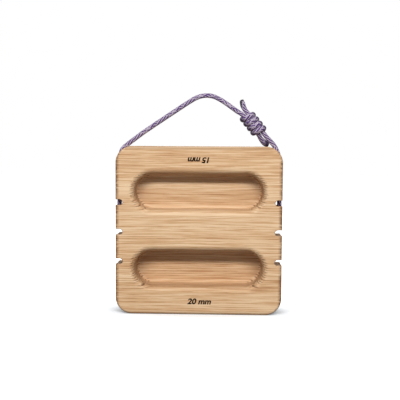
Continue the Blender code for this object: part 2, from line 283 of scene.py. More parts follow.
dark_yarn = add_node(
    tree, "ShaderNodeMix", {"data_type": "RGBA", 6: DEEP_PURPLE, 7: PURPLE}, {0: fibre.outputs[0]})
pale_yarn = add_node(
    tree, "ShaderNodeMix", {"data_type": "RGBA", 6: GREY_LILAC, 7: LILAC}, {0: fibre.outputs[0]})
yarn = add_node(
    tree, "ShaderNodeMix", {"data_type": "RGBA"},
    {0: pale.outputs[0], 6: dark_yarn.outputs[2], 7: pale_yarn.outputs[2]})
lift = add_node(
    tree, "ShaderNodeMath", {"operation": "MULTIPLY_ADD", 1: UNDER_LIFT, 2: 1 - UNDER_LIFT},
    {0: under_crown.outputs[0]})
height = add_node(
    tree, "ShaderNodeMath", {"operation": "MULTIPLY"}, {0: top_crown.outputs[0], 1: lift.outputs[0]})
# Painted shade: the yarn colour darkens towards the creases, where the relief is low.
crease_shade_share = add_node(
    tree, "ShaderNodeMapRange", {"From Min": 0.05, "From Max": 0.45}, {"Value": height.outputs[0]})
shaded_yarn = add_node(
    tree, "ShaderNodeMix", {"data_type": "RGBA", 6: CREASE_SHADE},
    {0: crease_shade_share.outputs[0], 7: yarn.outputs[2]})
# Painted shade held in a second attribute: the outsides of the knot's bends and the lower tail darken.
painted_shade = add_node(tree, "ShaderNodeAttribute", {"attribute_name": "painted_shade"}, {})
shaded = add_node(
    tree, "ShaderNodeMix", {"data_type": "RGBA", 7: CREASE_SHADE},
    {0: painted_shade.outputs["Fac"], 6: shaded_yarn.outputs[2]})
melt = add_node(tree, "ShaderNodeAttribute", {"attribute_name": "melt"}, {})
sealed = add_node(
    tree, "ShaderNodeMix", {"data_type": "RGBA", 7: MELTED},
    {0: melt.outputs["Fac"], 6: shaded.outputs[2]})
bump = add_node(
    tree, "ShaderNodeBump", {"Strength": 0.5, "Distance": BRAID_RELIEF}, {"Height": height.outputs[0]})
gloss = add_node(
    tree, "ShaderNodeMapRange", {"To Min": YARN_ROUGHNESS, "To Max": MELTED_ROUGHNESS},
    {"Value": melt.outputs["Fac"]})
tree.links.new(sealed.outputs[2], shader.inputs["Base Color"])
tree.links.new(gloss.outputs[0], shader.inputs["Roughness"])
tree.links.new(bump.outputs[0], shader.inputs["Normal"])
shader.inputs["IOR"].default_value = 1.53
shader.inputs["Specular IOR Level"].default_value = 0.25
shader.inputs["Sheen Weight"].default_value = 0.05


# Free loop
# The cord rises from the left corner in an arch, passes through the knot, and comes down to the right
# corner. It is bent by hand there, so the bend is spread over a few millimetres above each corner.
LEFT_HINGE_INSET = 0.0153
RIGHT_HINGE_INSET = 0.0117
KNOT_CENTRE_X = 0.0485
KNOT_CENTRE_RISE = 0.0208
KNOT_TILT = math.radians(51)
KNOT_HALF_LENGTH = 0.00965
STRAND_OFFSET = 0.0022
SQUEEZED_SHARE = 0.72
PRESSED_REACH = 0.006
FREE_REACH = 0.011
SIDEWAYS_REACH = 1.2
ARCH_POINTS = (
    (-0.0521, 0.0120), (-0.0411, 0.0195), (-0.0302, 0.0268), (-0.0193, 0.0340), (-0.0084, 0.0411),
    (-0.0030, 0.0441), (0.0025, 0.0458), (0.0079, 0.0461), (0.0133, 0.0450), (0.0188, 0.0424),
    (0.0243, 0.0389), (0.0297, 0.0351), (0.0345, 0.0317), (0.0378, 0.0298),
)
RIGHT_LEG_POINTS = ((0.0603, 0.0095),)
ALONG_KNOT = Vector((math.cos(KNOT_TILT), 0, -math.sin(KNOT_TILT)))
ACROSS_KNOT = Vector((math.sin(KNOT_TILT), 0, math.cos(KNOT_TILT)))
KNOT_CENTRE = on_plane(KNOT_CENTRE_X, KNOT_CENTRE_RISE)


def in_knot(along, across, depth=0.0):
    """A point given from the knot's centre: along its axis, across it, and back from the front."""
    return KNOT_CENTRE + ALONG_KNOT * along + ACROSS_KNOT * across + Vector((0, depth, 0))


def from_knot(point):
    """How far a point lies along the knot's axis and across it, from the knot's centre."""
    return (point - KNOT_CENTRE).dot(ALONG_KNOT), (point - KNOT_CENTRE).dot(ACROSS_KNOT)


def ramp(value, start, end):
    """0 at the start, 1 at the end, in proportion between them, and held beyond both."""
    return min(1.0, max(0.0, (value - start) / (end - start)))


def knot_squeeze(centre):
    """The cord's radius is pressed smaller inside the knot, and it is full again just outside."""
    along = abs(from_knot(centre)[0])
    reach = (centre - KNOT_CENTRE).length
    out = ramp(max(along, reach / SIDEWAYS_REACH), PRESSED_REACH, FREE_REACH)
    return SQUEEZED_SHARE + (1 - SQUEEZED_SHARE) * (3 * out**2 - 2 * out**3)


left_hinge = on_plane(LEFT_HINGE_INSET - HALF_WIDTH, HINGE_RISE)
right_hinge = on_plane(HALF_WIDTH - RIGHT_HINGE_INSET, HINGE_RISE)
through_knot = [
    in_knot(-KNOT_HALF_LENGTH - CORD_RADIUS, -STRAND_OFFSET), in_knot(-KNOT_HALF_LENGTH, -STRAND_OFFSET),
    in_knot(KNOT_HALF_LENGTH, STRAND_OFFSET), in_knot(KNOT_HALF_LENGTH + CORD_RADIUS, STRAND_OFFSET)]
loop_points = [left_hinge] + [on_plane(*point) for point in ARCH_POINTS] + through_knot
loop_points += [on_plane(*point) for point in RIGHT_LEG_POINTS] + [right_hinge]
loop_route = smooth_route(loop_points)
loop_cord = braided_tube("loop_cord", loop_route, squeeze=knot_squeeze)
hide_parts("cord_left_leg", "cord_right_leg")
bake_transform(loop_cord)


# Knot
# Each end of the cord is wound twice round the other and tucked through its own turns. The two pairs of
# turns are pulled together, and the cut ends, sealed with a flame, stand out at the knot's ends.
WRAP_PITCH = 0.0051
WRAP_ACROSS = 0.0054
WRAP_DEPTH = 0.0040
WRAP_WIDENING = 1.2
WIDENED_REACH = 0.0095
PLAIN_REACH = 0.0115
INNER_RING = 0.7
POINTS_PER_TURN = 16
HALF_TURNS_TO_MIDDLE = 3.5
FIRST_HALF_TURN = -0.25
LAST_HALF_TURN = 3.25
TUCK_BEFORE_POINTS = ((0.0062, -0.0010, 0.0006), (0.0084, 0.0010, 0.0024))
TUCK_AFTER_POINTS = ((0.0012, -0.0016, 0.0014), (0.0040, -0.0018, 0.0004))
UPPER_TAIL_POINTS = (
    (0.0414, 0.0329), (0.0398, 0.0357), (0.0388, 0.0385), (0.0377, 0.0410), (0.0371, 0.0422))
LOWER_TAIL_POINTS = (
    (0.0551, 0.0083, 0.0003), (0.0571, 0.0057, 0.0009), (0.0595, 0.0035, 0.0014), (0.0632, 0.0020, 0.0014))
UPPER_CUT_X = 0.0370
LOWER_CUT_X = 0.0628
CUT_TURN = math.radians(20)
TAIL_LENGTH = 0.010
UPPER_SWELLING = 0.22
LOWER_SWELLING = 0.30
TIP_ROUNDING = 0.0012
TIP_SHARE = 0.3
MELT_REACH = 0.0009
UPPER_TIP_MELT = 0.0024
LOWER_TIP_MELT = 0.0055
# Painted shade at the knot's bends, for each half: where across the knot it starts, where it is full and how
# dark it gets; then how dark the lower tail is.
UPPER_BEND_SHADE = (0.0051, 0.0067, 0.95)
LOWER_BEND_SHADE = (0.0024, 0.0066, 0.90)
LOWER_TAIL_SHADE = 0.40


def wrap_ring(centre):
    """How far out a point lies between the knot's axis, at 0, and the turns' own line, at 1."""
    return math.hypot(from_knot(centre)[1] / WRAP_ACROSS, centre.y / WRAP_DEPTH)


def widen_wraps(point, centre):
    """Pressed between its neighbours, a turn's section is wider along the knot than it is thick."""
    along = abs(from_knot(centre)[0])
    share = ramp(wrap_ring(centre), INNER_RING, 1.0) * ramp(along, PLAIN_REACH, WIDENED_REACH)
    return point + ALONG_KNOT * (point - centre).dot(ALONG_KNOT) * (WRAP_WIDENING - 1) * share


def bend_painted_shade(point):
    """How much painted shade a point of the knot gets: on the outsides of the bends, and on the lower tail.
    """
    along, across = from_knot(point)
    if abs(along) > KNOT_HALF_LENGTH + CORD_RADIUS:
        return LOWER_TAIL_SHADE if along > 0 else 0.0
    unshaded, shaded, most = UPPER_BEND_SHADE if across > 0 else LOWER_BEND_SHADE
    return most * ramp(abs(across), unshaded, shaded)


def wraps_with_tail(name, turn, tail_points, cut_x, tail_swelling, tip_melt):
    """Two turns and the tail that comes out of them. turn is 1 for the lower half and -1 for the upper."""
    route = [in_knot(turn * along, turn * across, depth) for along, across, depth in TUCK_BEFORE_POINTS]
    steps = round((LAST_HALF_TURN - FIRST_HALF_TURN) * POINTS_PER_TURN / 2)
    for step in range(steps + 1):
        half_turns = FIRST_HALF_TURN + (LAST_HALF_TURN - FIRST_HALF_TURN) * step / steps
        angle = math.pi * half_turns
        along = WRAP_PITCH * (HALF_TURNS_TO_MIDDLE - half_turns) / 2
        route.append(in_knot(
            turn * along, turn * WRAP_ACROSS * math.cos(angle), -WRAP_DEPTH * math.sin(angle)))
    route += [in_knot(turn * along, turn * across, depth) for along, across, depth in TUCK_AFTER_POINTS]
    route += [
        in_knot(turn * KNOT_HALF_LENGTH, turn * -STRAND_OFFSET),
        in_knot(turn * (KNOT_HALF_LENGTH + CORD_RADIUS), turn * -STRAND_OFFSET)]
    route += [on_plane(*point) for point in tail_points]
    tip = route[-1]

    def tail_share(centre):
        """Unlaid by the cut, the tail swells a little towards its tip, and the tip itself is rounded."""
        left = (centre - tip).length
        if abs(from_knot(centre)[0]) < KNOT_HALF_LENGTH:
            return knot_squeeze(centre) if wrap_ring(centre) < INNER_RING else 1.0
        swelling = 1 + tail_swelling * ramp(left, TAIL_LENGTH, TAIL_LENGTH / 2)
        rounding = ramp(left, 0, TIP_ROUNDING)
        return swelling * max(TIP_SHARE, math.sqrt(1 - (1 - rounding) ** 2))

    tube = braided_tube(name, smooth_route(route), squeeze=tail_share, shape=widen_wraps)
    axis = (route[-1] - route[-2]).normalized()
    facing = Vector((turn * math.cos(CUT_TURN), -math.sin(CUT_TURN), 0))
    melt = tube.data.attributes.new("melt", "FLOAT", "POINT")
    rings = (len(tube.data.vertices) - 2) // CORD_SIDES
    tail_start = (rings - round(TAIL_LENGTH / RING_STEP)) * CORD_SIDES
    tip_hub = len(tube.data.vertices) - 1
    for number in [*range(tail_start, rings * CORD_SIDES), tip_hub]:
        vert = tube.data.vertices[number]
        past = (vert.co - Vector((cut_x, 0, 0))).dot(facing)
        from_tip = (vert.co - tip).dot(axis)
        if past > 0:
            vert.co -= facing * past
        melt.data[number].value = max(
            ramp(past, -MELT_REACH, 0), ramp(from_tip, -tip_melt, -tip_melt / 2))
    # Painted shade on the outsides of the turns' bends and on the lower tail.
    painted_shade = tube.data.attributes.new("painted_shade", "FLOAT", "POINT")
    for vert, mark in zip(tube.data.vertices, painted_shade.data):
        mark.value = bend_painted_shade(vert.co)
    return tube


upper_wraps = wraps_with_tail(
    "upper_wraps_and_tail", -1, UPPER_TAIL_POINTS, UPPER_CUT_X, UPPER_SWELLING, UPPER_TIP_MELT)
lower_wraps = wraps_with_tail(
    "lower_wraps_and_tail", 1, LOWER_TAIL_POINTS, LOWER_CUT_X, LOWER_SWELLING, LOWER_TIP_MELT)
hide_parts("upper_tail", "knot")
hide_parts("lower_tail")
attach(upper_wraps, "cord_loop")
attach(lower_wraps, "cord_loop")


# Held cord
# The rest of the same cord lies over the rounded corners, in the groove down each side, and through a
# bore from side to side between the first two pairs of notches.
NOTCH_DROP = 0.0015
BORE_DROP = 0.0134
BEND_RADIUS = 0.008
BEND_STEPS = 3
LEFT_CORNER_POINTS = (
    (0.0119, 0.0038), (0.0088, 0.0013), (0.0060, -0.0009), (0.0043, -0.0032), (0.0033, -0.0062),
    (0.0026, -0.0105), (0.0022, -0.0160), (0.0021, -0.0265), (0.0021, -0.0440),
)
RIGHT_CORNER_POINTS = (
    (0.0092, 0.0036), (0.0070, 0.0008), (0.0053, -0.0023), (0.0040, -0.0053), (0.0031, -0.0085),
    (0.0025, -0.0125), (0.0022, -0.0175), (0.0021, -0.0265), (0.0021, -0.0440),
)


def side_route(side, hinge, corner_points):
    """From the hinge over one rounded corner, down the side groove and round the bend into the bore."""
    points = [hinge] + [on_plane(side * (HALF_WIDTH - inset), rise) for inset, rise in corner_points]
    centre_x = HALF_WIDTH - CORD_RADIUS - BEND_RADIUS
    centre_z = BOARD_HEIGHT / 2 - NOTCH_DROP + BORE_DROP + BEND_RADIUS
    for step in range(BEND_STEPS + 1):
        angle = -math.pi / 2 * step / BEND_STEPS
        points.append(Vector((
            side * (centre_x + BEND_RADIUS * math.cos(angle)), 0, centre_z + BEND_RADIUS * math.sin(angle))))
    return points


held_points = side_route(-1, left_hinge, LEFT_CORNER_POINTS)
held_points += side_route(1, right_hinge, RIGHT_CORNER_POINTS)[::-1]
held_route = smooth_route(held_points)
held_cord = braided_tube("held_cord", held_route)
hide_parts("cord_in_board")
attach(held_cord, "board")


# Oak board
# One block of oak, sawn with its grain across the board and its year rings cut at a slant by the front.
# The outline is rounded, the pockets, notches and the cord's way are milled, and all is sanded and oiled.
BOARD_THICKNESS = 0.028
CORNER_RADIUS = 0.015
EDGE_RADIUS = 0.0022
CORNER_STEPS = 20
EDGE_STEPS = 6
POCKET_LENGTH = 0.1155
POCKET_HEIGHT = 0.0315
UPPER_POCKET_DEPTH = 0.015
LOWER_POCKET_DEPTH = 0.020
POCKET_SPACING = 0.0692
POCKET_RISE = 0.0004
LIP_RADIUS = 0.0055
FLOOR_FILLET = 0.003
POCKET_SIDES = 96
LIP_STEPS = 8
NOTCH_HEIGHT = 0.0053
NOTCH_DEPTH = 0.0064
NOTCH_SPACING = 0.0267
NOTCH_EASE = 0.0008
NOTCH_SIDES = 32
GROOVE_SLACK = 0.0005
GROOVE_SIDES = 32
WAY_CLEARANCE = 0.0003
WAY_RESOLUTION = 10
CUT_MARGIN = 0.01
TOLERANCE = 0.00001
SMOOTH_ANGLE = math.radians(35)
FRONT_Y = -BOARD_THICKNESS / 2


def pick(piece, kind, wanted):
    """Select a mesh's vertices, edges or faces by a test of their points, and go into edit mode."""
    bpy.context.view_layer.objects.active = piece
    bpy.ops.object.mode_set(mode="EDIT")
    bpy.ops.mesh.select_mode(type=kind)
    bpy.ops.mesh.select_all(action="DESELECT")
    bpy.ops.object.mode_set(mode="OBJECT")
    mesh = piece.data
    if kind == "VERT":
        for vert in mesh.vertices:
            vert.select = wanted([vert.co])
    else:
        for item in mesh.edges if kind == "EDGE" else mesh.polygons:
            item.select = wanted([mesh.vertices[number].co for number in item.vertices])
    bpy.ops.object.mode_set(mode="EDIT")


def round_edges(piece, wanted, radius, steps):
    """Round the edges that pass a test of their points, and merge the points that meet."""
    pick(piece, "EDGE", wanted)
    bpy.ops.mesh.bevel(offset=radius, segments=steps, profile=0.5, affect="EDGES", clamp_overlap=False)
    bpy.ops.mesh.select_all(action="SELECT")
    bpy.ops.mesh.remove_doubles(threshold=TOLERANCE)
    bpy.ops.object.mode_set(mode="OBJECT")


def at_y(points, y):
    """Whether all the points lie in the plane at y, which faces the front."""
    return all(abs(point.y - y) < TOLERANCE for point in points)


def add_primitive(operator, name, **settings):
    """Add a primitive with nothing else selected, and apply its place and turn to its mesh."""
    bpy.ops.object.select_all(action="DESELECT")
    operator(**settings)
    piece = bpy.context.active_object
    piece.name = name
    bpy.ops.object.transform_apply(location=True, rotation=True, scale=True)
    return piece


def draw_apart(piece, left, right):
    """Move the halves of a round cutter away from each other along X, which makes a slot of it."""
    for direction, distance in ((-1, left), (1, right)):
        pick(piece, "VERT", lambda points: points[0].x * direction > 0)
        bpy.ops.transform.translate(value=(direction * distance, 0, 0))
        bpy.ops.object.mode_set(mode="OBJECT")


def milled_space(name, radius, ends, flares, left, right, sides):
    """The space that a round cutter clears between two depths, as a slot. At each end, a positive flare
    rounds the rim outwards, and a negative one rounds the foot inwards."""
    middle = (ends[0] + ends[1]) / 2
    cutter = add_primitive(
        bpy.ops.mesh.primitive_cylinder_add, name, vertices=sides, radius=radius, depth=ends[1] - ends[0],
        location=(0, middle, 0), rotation=(math.pi / 2, math.pi / sides, 0))
    for y, flare in zip(ends, flares):
        if flare > 0:
            outwards = -CUT_MARGIN if y < middle else CUT_MARGIN
            pick(cutter, "FACE", lambda points: at_y(points, y))
            bpy.ops.mesh.extrude_region_move()
            widening = (radius + flare) / radius
            bpy.ops.transform.resize(value=(widening, 1, widening), center_override=(0, y, 0))
            bpy.ops.mesh.extrude_region_move(TRANSFORM_OT_translate={"value": (0, outwards, 0)})
            bpy.ops.object.mode_set(mode="OBJECT")
        round_edges(
            cutter,
            lambda points: at_y(points, y) and all(
                abs(math.hypot(point.x, point.z) - radius) < TOLERANCE for point in points),
            abs(flare), LIP_STEPS)
    draw_apart(cutter, left, right)
    return cutter


def move_to(piece, place, half_turn=False):
    """Put a cutter in place, turned half round when it is for the left side, and keep that in its mesh."""
    bpy.ops.object.select_all(action="DESELECT")
    piece.select_set(True)
    bpy.context.view_layer.objects.active = piece
    piece.location = place
    if half_turn:
        piece.rotation_euler = (0, 0, math.pi)
    bpy.ops.object.transform_apply(location=True, rotation=True, scale=True)
    return piece


board = add_primitive(
    bpy.ops.mesh.primitive_cube_add, "board", size=1, location=(0, 0, BOARD_HEIGHT / 2),
    scale=(2 * HALF_WIDTH, BOARD_THICKNESS, BOARD_HEIGHT))
round_edges(board, lambda points: abs(points[0].y - points[1].y) > TOLERANCE, CORNER_RADIUS, CORNER_STEPS)
round_edges(board, lambda points: at_y(points, points[0].y), EDGE_RADIUS, EDGE_STEPS)

end_radius = POCKET_HEIGHT / 2
half_run = POCKET_LENGTH / 2 - end_radius
cutters = []
for level, depth in ((1, UPPER_POCKET_DEPTH), (-1, LOWER_POCKET_DEPTH)):
    cutter = milled_space(
        "pocket_cutter", end_radius, (FRONT_Y, FRONT_Y + depth), (LIP_RADIUS, -FLOOR_FILLET),
        half_run, half_run, POCKET_SIDES)
    cutters.append(move_to(cutter, (0, 0, BOARD_HEIGHT / 2 + POCKET_RISE + level * POCKET_SPACING / 2)))
notch_radius = NOTCH_HEIGHT / 2
for side in (-1, 1):
    for row in (1, 0, -1):
        cutter = milled_space(
            "notch_cutter", notch_radius, (FRONT_Y, -FRONT_Y), (NOTCH_EASE, NOTCH_EASE),
            0, NOTCH_DEPTH, NOTCH_SIDES)
        height = BOARD_HEIGHT / 2 - NOTCH_DROP + row * NOTCH_SPACING
        place = (side * (HALF_WIDTH - NOTCH_DEPTH + notch_radius), 0, height)
        cutters.append(move_to(cutter, place, half_turn=side < 0))
    groove_radius = CORD_RADIUS + GROOVE_SLACK
    groove_depth = 2 * CORD_RADIUS + GROOVE_SLACK
    cutter = add_primitive(
        bpy.ops.mesh.primitive_cylinder_add, "groove_cutter", vertices=GROOVE_SIDES, radius=groove_radius,
        depth=BOARD_HEIGHT + 2 * CUT_MARGIN, rotation=(0, 0, math.pi / GROOVE_SIDES))
    draw_apart(cutter, 0, groove_depth)
    place = (side * (HALF_WIDTH - groove_depth + groove_radius), 0, BOARD_HEIGHT / 2)
    cutters.append(move_to(cutter, place, half_turn=side < 0))

cord_way = bpy.data.curves.new("cord_way_cutter", "CURVE")
cord_way.dimensions = "3D"
cord_way.bevel_depth = CORD_RADIUS + WAY_CLEARANCE
cord_way.bevel_resolution = WAY_RESOLUTION
cord_way.use_fill_caps = True
spline = cord_way.splines.new("POLY")
way_points = even_route(held_route, CORD_RADIUS / 2)
spline.points.add(len(way_points) - 1)
for target, place in zip(spline.points, way_points):
    target.co = (*place, 1.0)
cutter = bpy.data.objects.new("cord_way_cutter", cord_way)
bpy.context.scene.collection.objects.link(cutter)
bpy.ops.object.select_all(action="DESELECT")
cutter.select_set(True)
bpy.context.view_layer.objects.active = cutter
bpy.ops.object.convert(target="MESH")
pick(cutter, "VERT", lambda points: True)
bpy.ops.mesh.remove_doubles(threshold=TOLERANCE)
bpy.ops.object.mode_set(mode="OBJECT")
cutters.append(cutter)

bpy.ops.object.select_all(action="DESELECT")
board.select_set(True)
bpy.context.view_layer.objects.active = board
for cutter in cutters:
    cut = board.modifiers.new("cut", "BOOLEAN")
    cut.operation = "DIFFERENCE"
    cut.solver = "EXACT"
    cut.object = cutter
    bpy.ops.object.modifier_apply(modifier=cut.name)
    bpy.data.objects.remove(cutter)
bpy.ops.object.shade_smooth_by_angle(angle=SMOOTH_ANGLE)
even = board.modifiers.new("even_normals", "WEIGHTED_NORMAL")
even.keep_sharp = True
bpy.ops.object.modifier_apply(modifier=even.name)
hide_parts("oak_board")
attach(board, "board")


# Oiled oak. Year rings about 2 mm apart run along the board as fine bands of uneven width that waver a
# little. Their open pores are dashes on the front, and dark dots wherever a curve cuts across the grain.
# The dots are drawn about 1 mm wide, which is coarser than real pores, so that they show. A patch is the
# length along the grain and the width across it of one spot in a pattern.
OAK_LIGHT = linear("F3D3AC")
OAK_MIDDLE = linear("DFB589")
OAK_DARK = linear("BC8A5F")
OAK_PORE = linear("54301A")
OAK_SOAK_AND_SHADE = linear("7C5230")
PITH_PLACE = (0.0, 0.10, -0.15)
RING_WIDTH = 0.0019
RING_UNEVENNESS = 0.0030
GROWTH_STEP = 0.003846
WAVER = 0.0050
WAVER_PATCH = (0.1429, 0.03846)
DASH_PATCH = (0.01818, 0.002381)
STREAK_PATCH = (0.03846, 0.0009524)
BROAD_PATCH = (0.2, 0.01667)
SPOT_PATCH = (0.01667, 0.001923)
PORE_PATCH = (0.0025, 0.002083)
RING_TONE_WEIGHT = 0.11
STREAK_WEIGHT = 1.05
BROAD_WEIGHT = 0.38
DARK_TONE = 0.47
MIDDLE_TONE = 0.69
LIGHT_TONE = 0.90
EARLY_WOOD_END = 0.34
LATE_WOOD_END = 0.88
DASH_SHADE = 0.24
OFF_FRONT_DARKNESS = 0.36
END_SHADE = 0.52
# How dark the painted shade inside the pockets is, and how dark near their ends.
POCKET_SHADE = 0.15
POCKET_END_SHADE = 0.30
SIDE_SHADE = 0.8
LONG_SHADE = 0.35
FRONT_PORE_SHADE = 0.06
END_PORE_SHADE = 0.82
GRAIN_RELIEF = 0.0001
SIDE_SOAK = 0.0038
LONG_SOAK = 0.0040
# Where along the board the painted pocket shade starts to grow, and where it is full.
POCKET_SHADE_START = 0.034
POCKET_SHADE_FULL = 0.056

oiled_oak, tree, shader = new_material("oiled_sanded_oak")
board.data.materials.clear()
board.data.materials.append(oiled_oak)
wood_place = add_node(tree, "ShaderNodeTexCoord", {}, {})


def wood_noise(patch, detail, roughness=0.5):
    """Noise over the wood's own coordinates, with spots of a patch's length and width."""
    length, width = patch
    stretched = add_node(
        tree, "ShaderNodeMapping", {"Scale": (1 / length, 1 / width, 1 / width)},
        {"Vector": wood_place.outputs["Object"]})
    return add_node(
        tree, "ShaderNodeTexNoise", {"Scale": 1.0, "Detail": detail, "Roughness": roughness},
        {"Vector": stretched.outputs[0]})


from_pith = add_node(
    tree, "ShaderNodeMapping", {"Location": tuple(-c for c in PITH_PLACE), "Scale": (0, 1, 1)},
    {"Vector": wood_place.outputs["Object"]})
distance = add_node(tree, "ShaderNodeVectorMath", {"operation": "LENGTH"}, {0: from_pith.outputs[0]})
waver = wood_noise(WAVER_PATCH, detail=2.0)
wavered = add_node(
    tree, "ShaderNodeMath", {"operation": "MULTIPLY_ADD", 1: WAVER},
    {0: waver.outputs[0], 2: distance.outputs["Value"]})
growth = add_node(
    tree, "ShaderNodeTexNoise", {"noise_dimensions": "1D", "Scale": 1 / GROWTH_STEP, "Detail": 1.0},
    {"W": wavered.outputs[0]})
uneven = add_node(
    tree, "ShaderNodeMath", {"operation": "MULTIPLY_ADD", 1: RING_UNEVENNESS},
    {0: growth.outputs[0], 2: wavered.outputs[0]})
rings = add_node(tree, "ShaderNodeMath", {"operation": "DIVIDE", 1: RING_WIDTH}, {0: uneven.outputs[0]})
ring_number = add_node(tree, "ShaderNodeMath", {"operation": "FLOOR"}, {0: rings.outputs[0]})
ring_share = add_node(tree, "ShaderNodeMath", {"operation": "FRACT"}, {0: rings.outputs[0]})
ring_tone = add_node(
    tree, "ShaderNodeTexWhiteNoise", {"noise_dimensions": "1D"}, {"W": ring_number.outputs[0]})
early = add_node(
    tree, "ShaderNodeMapRange",
    {"interpolation_type": "SMOOTHSTEP", "From Max": EARLY_WOOD_END, "To Min": 1.0, "To Max": 0.0},
    {"Value": ring_share.outputs[0]})
before_early = add_node(
    tree, "ShaderNodeMapRange", {"interpolation_type": "SMOOTHSTEP", "From Min": LATE_WOOD_END},
    {"Value": ring_share.outputs[0]})
early_wood = add_node(
    tree, "ShaderNodeMath", {"operation": "ADD"}, {0: early.outputs[0], 1: before_early.outputs[0]})
dashes = wood_noise(DASH_PATCH, detail=2.0, roughness=0.6)
broken = add_node(
    tree, "ShaderNodeMapRange", {"From Min": 0.36, "From Max": 0.62, "To Max": -DASH_SHADE},
    {"Value": dashes.outputs[0]})
streaks = wood_noise(STREAK_PATCH, detail=3.0, roughness=0.6)
broad = wood_noise(BROAD_PATCH, detail=2.0)
tone = add_node(
    tree, "ShaderNodeMath", {"operation": "MULTIPLY"}, {0: early_wood.outputs[0], 1: broken.outputs[0]})
for source, weight in (
        (ring_tone.outputs["Value"], RING_TONE_WEIGHT),
        (streaks.outputs[0], STREAK_WEIGHT),
        (broad.outputs[0], BROAD_WEIGHT)):
    tone = add_node(
        tree, "ShaderNodeMath", {"operation": "MULTIPLY_ADD", 1: weight}, {0: source, 2: tone.outputs[0]})
grain = add_node(tree, "ShaderNodeValToRGB", {}, {"Fac": tone.outputs[0]})
grain.color_ramp.elements[0].position = DARK_TONE
grain.color_ramp.elements[0].color = OAK_DARK
grain.color_ramp.elements[1].position = LIGHT_TONE
grain.color_ramp.elements[1].color = OAK_LIGHT
middle_tone = grain.color_ramp.elements.new(MIDDLE_TONE)
middle_tone.color = OAK_MIDDLE

facing = add_node(tree, "ShaderNodeSeparateXYZ", {}, {0: wood_place.outputs["Normal"]})
end_facing, front_facing = (
    add_node(tree, "ShaderNodeMath", {"operation": "ABSOLUTE"}, {0: facing.outputs[axis]}) for axis in (0, 1))
# Darker where the surface turns from the front: on the rounded edges, the sides, the notches and the pockets'
# lips and walls.
off_front = add_node(
    tree, "ShaderNodeMapRange", {"From Min": 0.97, "From Max": 0.5, "To Max": OFF_FRONT_DARKNESS},
    {"Value": front_facing.outputs[0]})
end_edge = add_node(
    tree, "ShaderNodeMapRange", {"From Min": 0.20, "From Max": 0.9, "To Max": END_SHADE},
    {"Value": end_facing.outputs[0]})
place = add_node(tree, "ShaderNodeSeparateXYZ", {}, {0: wood_place.outputs["Object"]})
off_middle = add_node(tree, "ShaderNodeMath", {"operation": "ABSOLUTE"}, {0: place.outputs[0]})
# Painted shade: from 5.5 mm behind the front face backwards the wood is darker, more so further out towards
# the pockets' ends. It shades the pockets' floors and walls, and it darkens the back half of the board as
# well.
shade_toward_ends = add_node(
    tree, "ShaderNodeMapRange",
    {"From Min": POCKET_SHADE_START, "From Max": POCKET_SHADE_FULL,
     "To Min": POCKET_SHADE, "To Max": POCKET_END_SHADE},
    {"Value": off_middle.outputs[0]})
in_pocket = add_node(
    tree, "ShaderNodeMapRange", {"From Min": FRONT_Y + LIP_RADIUS, "From Max": FRONT_Y + UPPER_POCKET_DEPTH},
    {"Value": place.outputs[1]})
painted_pocket_shade = add_node(
    tree, "ShaderNodeMath", {"operation": "MULTIPLY"}, {0: shade_toward_ends.outputs[0], 1: in_pocket.outputs[0]})
edge_spots = wood_noise(SPOT_PATCH, detail=1.0)
spotted = add_node(
    tree, "ShaderNodeMapRange", {"From Min": 0.38, "From Max": 0.60, "To Min": 0.40, "To Max": 1.15},
    {"Value": edge_spots.outputs[0]})
side_edge = add_node(
    tree, "ShaderNodeMapRange",
    {"From Min": HALF_WIDTH - SIDE_SOAK, "From Max": HALF_WIDTH - SIDE_SOAK / 3, "To Max": SIDE_SHADE},
    {"Value": off_middle.outputs[0]})
spotted_edge = add_node(
    tree, "ShaderNodeMath", {"operation": "MULTIPLY"}, {0: side_edge.outputs[0], 1: spotted.outputs[0]})
up_from_middle = add_node(
    tree, "ShaderNodeMath", {"operation": "SUBTRACT", 1: BOARD_HEIGHT / 2}, {0: place.outputs[2]})
off_centre = add_node(tree, "ShaderNodeMath", {"operation": "ABSOLUTE"}, {0: up_from_middle.outputs[0]})
long_edge = add_node(
    tree, "ShaderNodeMapRange",
    {"From Min": BOARD_HEIGHT / 2 - LONG_SOAK, "From Max": BOARD_HEIGHT / 2 - LONG_SOAK / 2,
     "To Max": LONG_SHADE},
    {"Value": off_centre.outputs[0]})
# The strongest of these marks mixes in one darker colour: oil soaked into the end grain and the edges,
# darkening where the surface turns from the front, and the painted pocket shade.
soak_and_shade = off_front
for source in (end_edge, painted_pocket_shade, spotted_edge, long_edge):
    soak_and_shade = add_node(
        tree, "ShaderNodeMath", {"operation": "MAXIMUM"}, {0: soak_and_shade.outputs[0], 1: source.outputs[0]})
edged_wood = add_node(
    tree, "ShaderNodeMix", {"data_type": "RGBA", 7: OAK_SOAK_AND_SHADE}, {0: soak_and_shade.outputs[0], 6: grain.outputs[0]})
pore_rows = wood_noise(PORE_PATCH, detail=1.0)
open_pore = add_node(
    tree, "ShaderNodeMapRange", {"interpolation_type": "SMOOTHSTEP", "From Min": 0.40, "From Max": 0.50},
    {"Value": pore_rows.outputs[0]})
cut_across = add_node(
    tree, "ShaderNodeMapRange",
    {"From Min": 0.02, "From Max": 0.30, "To Min": FRONT_PORE_SHADE, "To Max": END_PORE_SHADE},
    {"Value": end_facing.outputs[0]})
pore_row = add_node(
    tree, "ShaderNodeMath", {"operation": "MULTIPLY"}, {0: open_pore.outputs[0], 1: early_wood.outputs[0]})
pore_shade = add_node(
    tree, "ShaderNodeMath", {"operation": "MULTIPLY"}, {0: pore_row.outputs[0], 1: cut_across.outputs[0]})
open_wood = add_node(
    tree, "ShaderNodeMix", {"data_type": "RGBA", 7: OAK_PORE},
    {0: pore_shade.outputs[0], 6: edged_wood.outputs[2]})
